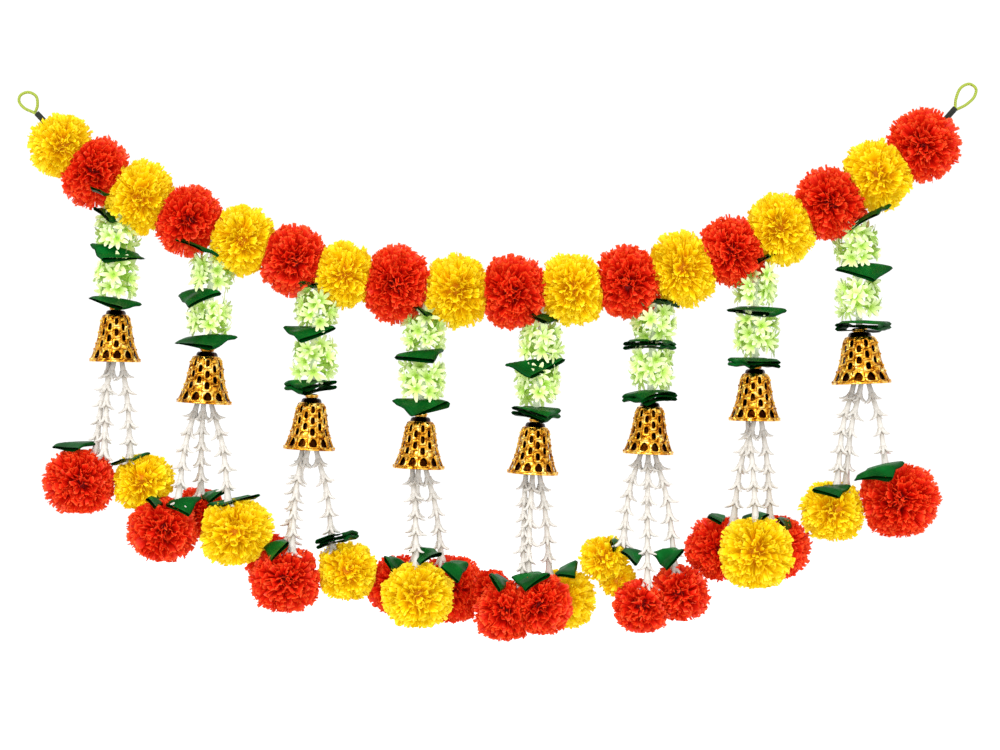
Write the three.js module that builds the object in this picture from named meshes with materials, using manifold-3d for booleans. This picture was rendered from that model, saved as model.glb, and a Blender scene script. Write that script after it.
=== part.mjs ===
// A door garland of artificial marigolds. Eighteen pompom blooms are threaded on a sagging cord with
// an eye at each end. Eight hangings drop from the cord, each with star-flower clusters, folded ribbon,
// an openwork bell and strings of jasmine that end in marigold blooms.
// Millimetres, +X to the right, +Y to the back, +Z up. The origin is the centre of the whole garland.
import * as THREE from 'three';
import { mergeVertices } from 'three/addons/utils/BufferGeometryUtils.js';
import Module from 'manifold-3d';

const wasm = await Module();
wasm.setup();

// Driving dimensions
const GAP = 0.3;                       // clearance between touching pieces
const CENTRING = new THREE.Vector3(0, 0, -0.2);   // brings the origin to the middle of the whole
const CORD_RADIUS = 1.5;
const CORD_SIDES = 4;
const EYE_SIDES = 5;
const CORD_STEPS = 36;
const SAG = 146.5;                     // from the end blooms down to the lowest point of the cord
const LOWEST = { x: 27.5, z: 69.7 };
const LEFT_SPAN = 464;                 // lowest point to the centre of the first bloom
const RIGHT_SPAN = 397;                // lowest point to the centre of the last bloom
const LEFT_POWER = 2.2;
const RIGHT_POWER = 1.9;
// Distances from each top bloom to the next
const PITCHES = [
  42.3, 51.4, 53.7, 57, 55.5, 52, 52.2, 62.7, 56.5, 59, 56.6, 54.6, 54.2, 52.1, 55.9, 55.5, 53.8,
];
const TOP_RADII = [33, 36.5, 38, 36, 34.5, 36, 34, 39, 37, 38.5, 36.5, 37.5, 39, 37, 36.5, 38, 35, 37];
const WHIPPING = { radius: 3, sides: 8 };
const TIP_REACH = 1.06;                // the longest petal tip, as a share of the bloom's radius
const PETAL_DEPTH = 0.2;               // how far a bloom's valleys lie below its petal tips, as a share
const STRAW_RADIUS = 3.4;
const STRAW_SIDES = 4;
const STRAW_TOP = 4.8;                 // the straw's end above the cord that pierces it
const SPRAY_LENGTH = 127;              // cord to bell crown on a hanging of usual length
const CLUSTER_DROPS = [53, 95];        // cluster centres below the cord, on that length
const STEEP_DROP = 12;                 // how much lower the first cluster hangs by the cord's slope
const CLUSTER = { core: 10.5, tip: 24, half: 15, columns: 6 };
const BELL_TOP = 56;                   // bell crown above its rim
const BELL_WALL = 1.8;
const BEAD = { radius: 4.5, below: 12 };
const HUB = { radius: 5, height: 8 };
const STRING_RADIUS = 1.3;
const STEM_SIDES = 3;
const PIN_DEPTH = 6;                   // a string's end inside the bloom that it carries
const BARE_END = 11;                   // the string's stretch through its ribbon fold
const FLOWER_PITCH = 24;
const CROWN_SHARE = 0.86;              // height of a hung bloom's flat top, as a share of its radius

// The whipped ends of the cord and the eye beyond each one, as points on the cord's route
const LEFT_END = { whip: [[-452.5, 240.2], [-461, 249.2]], eye: [
  [-462, 250.5], [-460, 257], [-461.5, 266], [-469.5, 270], [-477.3, 266.5],
  [-478.3, 260.5], [-473, 254], [-465, 250.3], [-460.5, 248],
] };
const RIGHT_END = { whip: [[446.5, 241.2], [458, 254.2]], eye: [
  [457.5, 253.5], [458.6, 264], [463.5, 274.5], [472, 278.2], [478.4, 273.5],
  [476.8, 265.5], [469, 257.8], [461, 253.6], [457, 252],
] };

// Each hanging: x of the bell, drop from the cord to the bell rim, blooms and strings.
// A bloom is [colour, dx, drop, y, radius]. A string is [index of the bloom it carries, dx, dy]
// from that bloom's centre.
const HANGINGS = [
  { x: -382.5, rim: 179,
    blooms: [['red', -34.5, 299, -6, 37], ['yellow', 26.5, 300.5, 4, 31]],
    strings: [[0, 9, -4], [0, 16, 8], [1, -11, -2]] },
  { x: -293.5, rim: 171.5,
    blooms: [['red', -42, 298.5, -8, 36.5], ['yellow', 31, 301.5, -8, 37], ['red', -8.5, 282, 24, 28]],
    strings: [[0, 14, 0], [2, 4, -6], [1, -8, 0]] },
  { x: -188.5, rim: 182,
    blooms: [['red', -22.5, 311, -10, 36.5], ['yellow', 38, 303.5, 2, 32], ['red', -41, 291, 20, 26]],
    strings: [[0, 6, 2], [2, 13, 1], [1, -12, 0]] },
  { x: -79, rim: 181,
    blooms: [['yellow', 0, 306.5, -22, 36.5], ['red', -21, 296.5, 18, 33], ['red', 31, 302.5, 20, 36]],
    strings: [[0, -1, 6], [1, 6, -4], [2, -8, -4]] },
  { x: 35, rim: 182,
    blooms: [['red', -26, 314.5, -10, 34.5], ['red', 8.5, 312, -14, 34.5],
      ['yellow', 32.5, 305.5, 24, 33], ['red', -44, 301.5, 12, 26]],
    strings: [[0, 4, 4], [1, -8, 4], [2, -6, -6]] },
  { x: 150.5, rim: 179,
    blooms: [['red', -7, 328, -8, 29.5], ['red', 32, 316, 0, 31.5], ['yellow', -43.5, 284, 4, 25],
      ['yellow', -30, 302, 10, 19]],
    strings: [[2, 9, -4], [0, 2, 0], [1, -3, 2]] },
  { x: 257, rim: 181,
    blooms: [['yellow', 2, 312, -19, 38.5], ['red', -33, 309, 16, 35.5], ['red', 22.5, 308.5, 18, 35.5]],
    strings: [[0, 0, 6], [1, 8, -2], [2, -2, -2]] },
  { x: 364, rim: 194,
    blooms: [['yellow', -29.5, 320, 4, 34], ['red', 37.5, 311, -6, 40.5]],
    strings: [[0, 2, -4], [0, 12, 6], [1, -14, 2]] },
];

// Folded ribbons on the straw: [drop, shift by the cord's slope, half width, half depth, tilt, turn]
const SPRAY_RIBBONS = [
  [40, 21, 8.5, 14, 6, 10],
  [73, 0, 27, 14, 4, -8],
  [119, 0, 28, 14, -3, 12],
];
const WIDE_FOLD = [[-1, 0], [-0.45, -1], [0.55, -0.9], [1, 0], [0.45, 1], [-0.55, 0.9]];
const NARROW_FOLD = [[-1, 0], [0.2, -1], [1, 0.1], [-0.1, 1]];
const STRING_RIBBON = { halfWidth: 15, halfDepth: 10, thickness: 1.2, above: 5 };

// Finishes
const finish = (color, roughness, metalness = 0) => (
  new THREE.MeshStandardMaterial({ color, roughness, metalness }));
const MATERIALS = {
  red: finish(0xee2a0c, 0.5),
  yellow: finish(0xffd500, 0.5),
  cord: finish(0xbed746, 0.6),
  spray: finish(0xc8f578, 0.6),
  bell: finish(0xd59b2a, 0.25, 1),
  jasmine: finish(0xf0ece6, 0.6),
};

// Seeded random numbers, the same on every run
function randomSource(seed) {
  let state = seed;
  return () => {
    state = (state * 1664525 + 1013904223) % 4294967296;
    return state / 4294967296;
  };
}

// Solids and geometries
function toSolid(geometry) {
  const plain = geometry.index ? geometry.toNonIndexed() : geometry.clone();
  plain.deleteAttribute('normal');
  plain.deleteAttribute('uv');
  const merged = mergeVertices(plain, 1e-4);
  return new wasm.Manifold(new wasm.Mesh({
    numProp: 3,
    vertProperties: new Float32Array(merged.attributes.position.array),
    triVerts: new Uint32Array(merged.index.array),
  }));
}

function toGeometry(solid) {
  const mesh = solid.getMesh();
  const geometry = new THREE.BufferGeometry();
  geometry.setAttribute('position', new THREE.BufferAttribute(new Float32Array(mesh.vertProperties), 3));
  geometry.setIndex(new THREE.BufferAttribute(new Uint32Array(mesh.triVerts), 1));
  geometry.computeVertexNormals();
  return geometry;
}

function joined(solids) {
  return solids.reduce((all, next) => all.add(next));
}

// A closed skin over rings of points. raise(ring, column, middle) may lift a cell into a petal.
function ringSolid(rings, raise, startPole, endPole) {
  const positions = [];
  const triangle = (a, b, c) => positions.push(...a.toArray(), ...b.toArray(), ...c.toArray());
  const columns = rings[0].length;
  for (let i = 0; i < rings.length - 1; i += 1) {
    for (let j = 0; j < columns; j += 1) {
      const k = (j + 1) % columns;
      const corners = [rings[i][j], rings[i][k], rings[i + 1][k], rings[i + 1][j]];
      const middle = corners.reduce((sum, p) => sum.add(p), new THREE.Vector3()).multiplyScalar(0.25);
      const tip = raise(i, j, middle);
      if (tip) {
        corners.forEach((corner, n) => triangle(corner, corners[(n + 1) % 4], tip));
      } else {
        triangle(corners[0], corners[1], corners[2]);
        triangle(corners[0], corners[2], corners[3]);
      }
    }
  }
  for (let j = 0; j < columns; j += 1) {
    const k = (j + 1) % columns;
    triangle(rings[0][k], rings[0][j], startPole);
    triangle(rings.at(-1)[j], rings.at(-1)[k], endPole);
  }
  const geometry = new THREE.BufferGeometry();
  geometry.setAttribute('position', new THREE.Float32BufferAttribute(positions, 3));
  return toSolid(geometry);
}

// A tube of even section along a route of points
function routeTube(points, radius, sides, steps) {
  const path = new THREE.CatmullRomCurve3(points, false, 'centripetal');
  const section = new THREE.Shape();
  for (let i = 0; i < sides; i += 1) {
    const angle = (i / sides) * 2 * Math.PI;
    const corner = [radius * Math.cos(angle), radius * Math.sin(angle)];
    if (i === 0) section.moveTo(...corner);
    else section.lineTo(...corner);
  }
  return toSolid(new THREE.ExtrudeGeometry(section, { steps, extrudePath: path }));
}

// An upright prism round the z axis, from low to high
function prism(radius, low, high, sides, turn = 0) {
  const geometry = new THREE.CylinderGeometry(radius, radius, high - low, sides);
  geometry.rotateX(Math.PI / 2);
  geometry.rotateZ(turn);
  geometry.translate(0, 0, (low + high) / 2);
  return toSolid(geometry);
}

// The cord
function cordHeight(x) {
  const reach = x - LOWEST.x;
  const share = Math.abs(reach) / (reach < 0 ? LEFT_SPAN : RIGHT_SPAN);
  return LOWEST.z + SAG * share ** (reach < 0 ? LEFT_POWER : RIGHT_POWER);
}

const cordPoint = (x) => new THREE.Vector3(x, 0, cordHeight(x));
const flatPoint = ([x, z]) => new THREE.Vector3(x, 0, z);

// Centres of the top blooms, stepped along the cord by its length
function bloomCentres() {
  const centres = [cordPoint(LOWEST.x - LEFT_SPAN)];
  while (centres.length < TOP_RADII.length) {
    const last = centres.at(-1);
    const pitch = PITCHES[centres.length - 1];
    let x = last.x;
    while (cordPoint(x).distanceTo(last) < pitch) x += 0.05;
    centres.push(cordPoint(x));
  }
  return centres;
}

const CENTRES = bloomCentres();

function cordRoute() {
  const route = [];
  CENTRES.forEach((centre, i) => {
    route.push(centre);
    if (i < CENTRES.length - 1) route.push(cordPoint((centre.x + CENTRES[i + 1].x) / 2));
  });
  return [
    flatPoint(LEFT_END.whip[1]), flatPoint(LEFT_END.whip[0]), ...route,
    flatPoint(RIGHT_END.whip[0]), flatPoint(RIGHT_END.whip[1]),
  ];
}

function whipping(end, extra) {
  const [low, high] = end.whip.map(flatPoint);
  return routeTube([low, high], WHIPPING.radius + extra, WHIPPING.sides, 1);
}

// The strung cord with its whippings. extra makes the clearance that the blooms are threaded with.
function strungCord(extra) {
  const cord = routeTube(cordRoute(), CORD_RADIUS + extra, CORD_SIDES, CORD_STEPS);
  return joined([cord, whipping(LEFT_END, extra), whipping(RIGHT_END, extra)]);
}

function cordEye(end) {
  return routeTube(end.eye.map(flatPoint), CORD_RADIUS, EYE_SIDES, 15);
}

// A pompom bloom: rings of valleys round an axis, with a petal raised from every cell between them.
// walls are planes that the bloom is pressed flat against, each a normal and a distance from its centre.
function bloomSolid({ centre, axis, radius, walls, columns, seed }) {
  const random = randomSource(seed);
  const turn = new THREE.Quaternion().setFromUnitVectors(new THREE.Vector3(0, 0, 1), axis);
  const pressed = (direction, reach) => {
    let length = reach;
    walls.forEach(({ normal, distance }) => {
      const towards = direction.dot(normal);
      if (towards > 0.02) length = Math.min(length, distance / towards);
    });
    return direction.clone().multiplyScalar(length).add(centre);
  };
  const aim = (latitude, longitude) => new THREE.Vector3(
    Math.cos(latitude) * Math.cos(longitude),
    Math.cos(latitude) * Math.sin(longitude),
    Math.sin(latitude),
  ).applyQuaternion(turn);
  const latitudes = [-66, -33, 0, 33, 66].map(THREE.MathUtils.degToRad);
  const step = (2 * Math.PI) / columns;
  const start = random() * step;
  const core = radius * (1 - PETAL_DEPTH);
  const rings = latitudes.map((latitude) => Array.from({ length: columns }, (_, j) => (
    pressed(aim(latitude, start + j * step), core * (0.95 + 0.1 * random())))));
  const raise = (i, j) => {
    const latitude = (latitudes[i] + latitudes[i + 1]) / 2 + (random() - 0.5) * 0.3;
    const longitude = start + (j + 0.5 + (random() - 0.5) * 0.55) * step;
    return pressed(aim(latitude, longitude), radius * (0.94 + 0.1 * random()));
  };
  const pole = (side) => pressed(aim((side * Math.PI) / 2, 0), radius);
  return ringSolid(rings, raise, pole(-1), pole(1));
}

// The plane half way between two blooms, seen from the first
function wallBetween(from, to, share = 0.5) {
  const normal = to.clone().sub(from);
  const distance = normal.length() * share - GAP / 2;
  return { normal: normal.normalize(), distance };
}

function topBloom(index, clearances) {
  const centre = CENTRES[index];
  const before = CENTRES[index - 1];
  const after = CENTRES[index + 1];
  const walls = [before, after].filter(Boolean).map((other) => wallBetween(centre, other));
  const axis = (after ?? centre).clone().sub(before ?? centre).normalize();
  const bloom = bloomSolid({ centre, axis, radius: TOP_RADII[index], walls, columns: 8, seed: 11 + index });
  const hollowed = clearances.reduce((solid, clearance) => solid.subtract(clearance), bloom);
  return toGeometry(hollowed);
}

// A folded ribbon: a pointed leaf of cloth that droops to both ends and to the front
function foldedRibbon({ corners, halfWidth, halfDepth, thickness, tilt = 0, turn = 0, x = 0, y = 0, z = 0 }) {
  const outline = new THREE.Shape(corners.map(([u, v]) => new THREE.Vector2(u * halfWidth, v * halfDepth)));
  const geometry = new THREE.ExtrudeGeometry(outline, { depth: thickness, bevelEnabled: false });
  geometry.rotateX(THREE.MathUtils.degToRad(12));
  geometry.rotateY(THREE.MathUtils.degToRad(tilt));
  geometry.rotateZ(THREE.MathUtils.degToRad(turn));
  geometry.translate(x, y, z);
  return toSolid(geometry);
}

function sprayRibbon([drop, x, halfWidth, halfDepth, tilt, turn]) {
  return foldedRibbon({ corners: WIDE_FOLD, halfWidth, halfDepth, thickness: 2, tilt, turn, x, z: -drop });
}

// A cluster of star flowers round the straw, each petal raised from the core
function starCluster(drop, seed) {
  const random = randomSource(seed);
  const { core, tip, half, columns } = CLUSTER;
  const step = (2 * Math.PI) / columns;
  const around = (radius, angle, z) => (
    new THREE.Vector3(radius * Math.cos(angle), radius * Math.sin(angle), z - drop));
  const levels = [-half, -half / 3, half / 3, half];
  const rings = levels.map((z) => Array.from({ length: columns }, (_, j) => (
    around(Math.abs(z) === half ? core * 0.7 : core, j * step, z))));
  const raise = (i, j) => {
    const level = (levels[i] + levels[i + 1]) / 2;
    const reach = i === 1 ? tip : tip * 0.84;
    return around(reach * (0.92 + 0.12 * random()), (j + 0.3 + 0.4 * random()) * step, level * 1.25);
  };
  return ringSolid(rings, raise, around(0, 0, -half), around(0, 0, half));
}

// Straw, clusters, ribbons and the string that carries the bell, all on one thread
function spraySolid(hanging, index) {
  const crown = -hanging.rim + BELL_TOP;
  const beadTop = crown - BEAD.below;
  const straw = prism(STRAW_RADIUS, crown + 1.5, STRAW_TOP, STRAW_SIDES);
  const thread = prism(STRING_RADIUS, beadTop - BEAD.radius - 7, crown + 3, 4);
  const bead = prism(BEAD.radius, beadTop - BEAD.radius, beadTop, 5);
  const scale = -crown / SPRAY_LENGTH;
  const steep = STEEP_DROP * Math.abs(hanging.slope);
  const clusters = CLUSTER_DROPS.map((drop, i) => (
    starCluster(drop * scale + (i ? 0 : steep), 70 + index * 2 + i)));
  const ribbons = SPRAY_RIBBONS.map(([drop, shift, ...shape]) => (
    sprayRibbon([drop * scale, shift * hanging.slope, ...shape])));
  return joined([straw, thread, bead, ...clusters, ...ribbons]);
}

// The bell: an outer and an inner skin on one grid, with windows cut through both
function bellSolid() {
  const windows = 5;
  const skin = [
    [8, BELL_TOP], [8, 51], [15.5, 47.5], [16.4, 42], [19.2, 30], [20.2, 26.5], [23.6, 13], [27, 0],
  ];
  const ceiling = 2;
  const windowBands = [3, 5];
  const columns = windows * 2;
  const windowShare = 0.62;
  const angles = Array.from({ length: columns }, (_, j) => (
    ((Math.floor(j / 2) + (j % 2 ? windowShare : 0)) / windows) * 2 * Math.PI));
  const positions = [];
  const triangle = (a, b, c) => positions.push(...a, ...b, ...c);
  const quad = (a, b, c, d) => {
    triangle(a, b, c);
    triangle(a, c, d);
  };
  const at = (radius, z, j) => {
    const angle = angles[j % columns];
    return [radius * Math.cos(angle), radius * Math.sin(angle), z];
  };
  const outer = (i, j) => at(skin[i][0], skin[i][1], j);
  const inner = (i, j) => at(skin[i][0] - BELL_WALL, skin[i][1] - (i > ceiling ? 0 : BELL_WALL), j);
  const last = skin.length - 1;
  for (let j = 0; j < columns; j += 1) {
    for (let i = 0; i < last; i += 1) {
      if (i < ceiling) {
        quad(outer(i, j), outer(i + 1, j), outer(i + 1, j + 1), outer(i, j + 1));
      } else if (windowBands.includes(i) && j % 2 === 0) {
        quad(outer(i, j + 1), outer(i, j), inner(i, j), inner(i, j + 1));
        quad(outer(i + 1, j), outer(i + 1, j + 1), inner(i + 1, j + 1), inner(i + 1, j));
        quad(outer(i, j), outer(i + 1, j), inner(i + 1, j), inner(i, j));
        quad(outer(i + 1, j + 1), outer(i, j + 1), inner(i, j + 1), inner(i + 1, j + 1));
      } else {
        quad(outer(i, j), outer(i + 1, j), outer(i + 1, j + 1), outer(i, j + 1));
        quad(inner(i, j + 1), inner(i + 1, j + 1), inner(i + 1, j), inner(i, j));
      }
    }
    quad(outer(last, j), inner(last, j), inner(last, j + 1), outer(last, j + 1));
    triangle(outer(0, j), outer(0, j + 1), [0, 0, skin[0][1]]);
    triangle(inner(ceiling, j + 1), inner(ceiling, j), [0, 0, skin[ceiling][1] - BELL_WALL]);
  }
  const geometry = new THREE.BufferGeometry();
  geometry.setAttribute('position', new THREE.Float32BufferAttribute(positions, 3));
  const hole = prism(STRING_RADIUS + GAP + 0.1, 40, 60, 4);
  return toSolid(geometry).subtract(hole);
}

// One string of jasmine: a three-sided stem along a route, with petals hooked out of every flower.
// The stretch inside the bell is bare.
function jasmineString(start, end, bare, random, toLocal) {
  const foot = toLocal(end.clone());
  const bow = start.clone().lerp(foot, 0.45);
  bow.x += (foot.x - start.x) * 0.12;
  const path = new THREE.CatmullRomCurve3([start, bow, foot]);
  const length = path.getLength();
  const flowering = length - bare - BARE_END;
  const flowers = Math.round(flowering / FLOWER_PITCH);
  const shareOf = (flower) => (bare + (flower * flowering) / flowers) / length;
  const frame = new THREE.Quaternion().setFromUnitVectors(
    new THREE.Vector3(0, 0, -1), foot.clone().sub(start).normalize());
  const first = random() * Math.PI;
  const ringAt = (share, radius, turn) => Array.from({ length: STEM_SIDES }, (_, j) => {
    const angle = first + turn - (j * 2 * Math.PI) / STEM_SIDES;
    const offset = new THREE.Vector3(radius * Math.cos(angle), radius * Math.sin(angle), 0);
    return offset.applyQuaternion(frame).add(path.getPointAt(share));
  });
  const rings = [ringAt(0, 1.5, 0)];
  for (let n = 0; n < flowers; n += 1) {
    rings.push(ringAt(shareOf(n), 1.6, n * 0.5), ringAt(shareOf(n + 0.6), 2.7, n * 0.5 + 0.25));
  }
  const third = (2 * Math.PI) / STEM_SIDES;
  const pinTurn = Math.round((first + flowers * 0.5) / third) * third;
  const pinned = (depth) => Array.from({ length: STEM_SIDES }, (_, j) => {
    const angle = pinTurn - j * third;
    const offset = new THREE.Vector3(Math.cos(angle), Math.sin(angle), 0).multiplyScalar(STRING_RADIUS);
    return toLocal(offset.setZ(-depth).add(end));
  });
  rings.push(ringAt(shareOf(flowers), 1.6, flowers * 0.5), pinned(-1), pinned(PIN_DEPTH));
  const raise = (i, j, middle) => {
    if (i === 0 || i % 2 === 1 || i > 2 * flowers) return null;
    const tip = path.getPointAt(shareOf(i / 2));
    const outward = middle.clone().sub(path.getPointAt(shareOf(i / 2 - 0.2))).normalize();
    return tip.addScaledVector(outward, 8 + random());
  };
  return ringSolid(rings, raise, start, toLocal(end.clone().setZ(end.z - PIN_DEPTH)));
}

// The strings of one hanging, tied to a hub under the bell's bead, with a ribbon fold at each end
function jasmineSolid(hanging, toLocal, index) {
  const random = randomSource(300 + index);
  const hubTop = -hanging.rim + BELL_TOP - BEAD.below - BEAD.radius - GAP;
  const hub = prism(HUB.radius, hubTop - HUB.height, hubTop, 5);
  const socket = prism(STRING_RADIUS + GAP + 0.1, hubTop - 7, hubTop + 1, 4);
  const parts = hanging.strings.map(([bloom, dx, dy], i) => {
    const crown = bloomCrown(HANGINGS[index], bloom);
    const end = crown.add(new THREE.Vector3(dx, dy, 0));
    const foot = toLocal(end.clone());
    const start = new THREE.Vector3((i - 1) * 2.4, 0, hubTop - HUB.height + 2);
    const ribbon = foldedRibbon({
      ...STRING_RIBBON, corners: NARROW_FOLD, tilt: (random() - 0.5) * 24, turn: random() * 60 - 30,
      x: foot.x, y: foot.y, z: foot.z + STRING_RIBBON.above,
    });
    const bare = start.z + hanging.rim;
    return jasmineString(start, end, bare, random, toLocal).add(ribbon);
  });
  return joined([hub, ...parts]).subtract(socket);
}

// Blooms below the hangings, in the garland's own frame
const tieX = (index) => (CENTRES[2 * index + 1].x + CENTRES[2 * index + 2].x) / 2;

function bloomSpot(hanging, bloom) {
  const [, dx, drop, y] = hanging.blooms[bloom];
  return new THREE.Vector3(hanging.x + dx, y, cordHeight(tieX(HANGINGS.indexOf(hanging))) - drop);
}

// The middle of a bloom's flat top, where its string ends
function bloomCrown(hanging, bloom) {
  const lift = hanging.blooms[bloom][4] * CROWN_SHARE + GAP;
  return bloomSpot(hanging, bloom).add(new THREE.Vector3(0, 0, lift));
}

const HUNG = HANGINGS.flatMap((hanging, index) => hanging.blooms.map((bloom, i) => ({
  node: `bunch_${bloom[0]}_${index + 1}`, colour: bloom[0], centre: bloomSpot(hanging, i), radius: bloom[4],
})));

// The blooms of one colour below one hanging, pressed flat where they meet the blooms of other nodes
function bunchSolid(node) {
  const solids = HUNG.filter((bloom) => bloom.node === node).map(({ centre, radius }) => {
    const walls = HUNG.filter((other) => other.node !== node).map((other) => {
      const away = centre.distanceTo(other.centre);
      return wallBetween(centre, other.centre, (away + radius - other.radius) / (2 * away));
    }).filter((wall) => wall.distance < radius * TIP_REACH);
    walls.push({ normal: new THREE.Vector3(0, 0, 1), distance: radius * CROWN_SHARE });
    const seed = 500 + Math.round(centre.x + centre.y * 3);
    return bloomSolid({ centre, axis: new THREE.Vector3(0, 0, 1), radius, walls, columns: 7, seed });
  });
  const sockets = HANGINGS.flatMap((hanging) => hanging.strings
    .filter(([bloom]) => `bunch_${hanging.blooms[bloom][0]}_${HANGINGS.indexOf(hanging) + 1}` === node)
    .map(([bloom, dx, dy]) => bloomCrown(hanging, bloom).add(new THREE.Vector3(dx, dy, 0))));
  const socket = prism(STRING_RADIUS + 2 * GAP + 0.1, -PIN_DEPTH - GAP, 3, 3, Math.PI / 2);
  return sockets.reduce((solid, { x, y, z }) => solid.subtract(socket.translate(x, y, z)), joined(solids));
}

function addMesh(group, name, geometry, material) {
  const mesh = new THREE.Mesh(geometry, material);
  mesh.name = name;
  group.add(mesh);
  return mesh;
}

// A hanging's group stands at its tie on the cord and leans towards where the bell hangs
function hangingFrame(hanging, index) {
  const tie = cordPoint(tieX(index));
  const lean = Math.atan2(tie.x - hanging.x, hanging.rim);
  const matrix = new THREE.Matrix4().makeRotationY(lean).setPosition(tie);
  const slope = (CENTRES[2 * index + 2].z - CENTRES[2 * index + 1].z) / PITCHES[2 * index + 1];
  return { tie, lean, matrix, leaned: { ...hanging, slope, rim: hanging.rim / Math.cos(lean) } };
}

function hangingGroup(hanging, index, bellGeometry) {
  const { tie, lean, matrix, leaned } = hangingFrame(hanging, index);
  const group = new THREE.Group();
  group.position.copy(tie);
  group.rotation.y = lean;
  const inverse = matrix.clone().invert();
  const spray = spraySolid(leaned, index).subtract(SLEEVE.transform(inverse.toArray()));
  const jasmine = jasmineSolid(leaned, (point) => point.applyMatrix4(inverse), index);
  addMesh(group, `spray_${index + 1}`, toGeometry(spray), MATERIALS.spray);
  const bell = addMesh(group, `bell_${index + 1}`, bellGeometry, MATERIALS.bell);
  bell.position.z = -leaned.rim;
  addMesh(group, `jasmine_${index + 1}`, toGeometry(jasmine), MATERIALS.jasmine);
  return group;
}

// What a hanging's straw takes up between the blooms
function tieClearance(hanging, index) {
  const straw = prism(STRAW_RADIUS + GAP + 0.1, -40, STRAW_TOP + GAP, STRAW_SIDES);
  return straw.transform(hangingFrame(hanging, index).matrix.toArray());
}

const SLEEVE = strungCord(GAP + 0.05);
const garland = new THREE.Group();
garland.position.copy(CENTRING);
const mainCord = joined([strungCord(0), cordEye(LEFT_END), cordEye(RIGHT_END)]);
addMesh(garland, 'main_cord', toGeometry(mainCord), MATERIALS.cord);
const bellGeometry = toGeometry(bellSolid());
HANGINGS.forEach((hanging, index) => garland.add(hangingGroup(hanging, index, bellGeometry)));
const ties = HANGINGS.map(tieClearance);
TOP_RADII.forEach((_, index) => {
  const name = `top_bloom_${String(index + 1).padStart(2, '0')}`;
  const nearTie = ties.filter((tie, i) => i === Math.ceil(index / 2) - 1);
  addMesh(garland, name, topBloom(index, [SLEEVE, ...nearTie]), index % 2 ? MATERIALS.red : MATERIALS.yellow);
});
[...new Set(HUNG.map((bloom) => bloom.node))].forEach((node) => {
  const { colour } = HUNG.find((bloom) => bloom.node === node);
  addMesh(garland, node, toGeometry(bunchSolid(node)), MATERIALS[colour]);
});

export default garland;
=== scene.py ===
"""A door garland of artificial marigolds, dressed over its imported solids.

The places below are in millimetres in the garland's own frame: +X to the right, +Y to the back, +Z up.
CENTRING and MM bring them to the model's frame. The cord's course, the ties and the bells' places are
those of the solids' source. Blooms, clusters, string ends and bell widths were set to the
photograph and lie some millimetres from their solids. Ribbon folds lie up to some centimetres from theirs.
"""
import math

import bpy
import numpy as np
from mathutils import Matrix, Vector


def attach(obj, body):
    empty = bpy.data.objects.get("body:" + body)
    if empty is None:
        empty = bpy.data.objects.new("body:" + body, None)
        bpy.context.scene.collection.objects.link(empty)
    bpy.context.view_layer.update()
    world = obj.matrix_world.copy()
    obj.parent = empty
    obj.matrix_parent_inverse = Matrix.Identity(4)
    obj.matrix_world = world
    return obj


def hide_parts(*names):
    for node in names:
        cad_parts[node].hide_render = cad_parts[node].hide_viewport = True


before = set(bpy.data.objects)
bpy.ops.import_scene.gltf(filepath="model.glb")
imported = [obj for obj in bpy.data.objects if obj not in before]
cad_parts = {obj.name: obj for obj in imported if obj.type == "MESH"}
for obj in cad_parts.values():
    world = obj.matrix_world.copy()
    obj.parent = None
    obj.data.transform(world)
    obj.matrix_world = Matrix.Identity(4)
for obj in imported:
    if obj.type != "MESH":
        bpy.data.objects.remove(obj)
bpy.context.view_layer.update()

MM = 0.001
CENTRING = np.array([0.0, 0.0, -0.2])
UP = np.array([0.0, 0.0, 1.0])
RIGHT = np.array([1.0, 0.0, 0.0])

# The cord and the blooms threaded on it
SAG = 146.5
LOWEST_X, LOWEST_Z = 27.5, 69.7
LEFT_SPAN, RIGHT_SPAN = 464.0, 397.0
LEFT_POWER, RIGHT_POWER = 2.2, 1.9
PITCHES = [42.3, 51.4, 53.7, 57, 55.5, 52, 52.2, 62.7, 56.5, 59, 56.6, 54.6, 54.2, 52.1, 55.9, 55.5, 53.8]
TOP_RADII = [33, 37.5, 38, 36, 35.5, 36, 34, 39, 37, 38.5, 36.5, 37.5, 39, 37, 37, 38, 37, 37]
# How far each pompom lies to the right and up of its place on the cord
TOP_SHIFTS = [(1, 0), (-2.5, -1.5), (0, -2), (0, 0), (1.5, 2), (0.5, 0.5), (0.5, -1), (0.5, 0), (0, -1),
              (-0.5, 0), (0.5, 0.5), (-1, -1.5), (1.5, -2), (-1, -1.5), (-0.5, 0), (0, 0), (-0.5, 0),
              (0, -0.5)]
CORD_RADIUS = 1.5
LEFT_WHIP = [(-452.5, 240.2), (-461, 249.2)]
RIGHT_WHIP = [(446.5, 241.2), (458, 254.2)]
LEFT_EYE = [(-462, 250.5), (-460, 257), (-461.5, 266), (-469.5, 270), (-477.3, 266.5),
            (-478.3, 260.5), (-473, 254), (-465, 250.3), (-460.5, 248)]
RIGHT_EYE = [(457.5, 253.5), (458.6, 264), (463.5, 274.5), (472, 278.2), (478.4, 273.5),
             (476.8, 265.5), (469, 257.8), (461, 253.6), (457, 252)]

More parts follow.
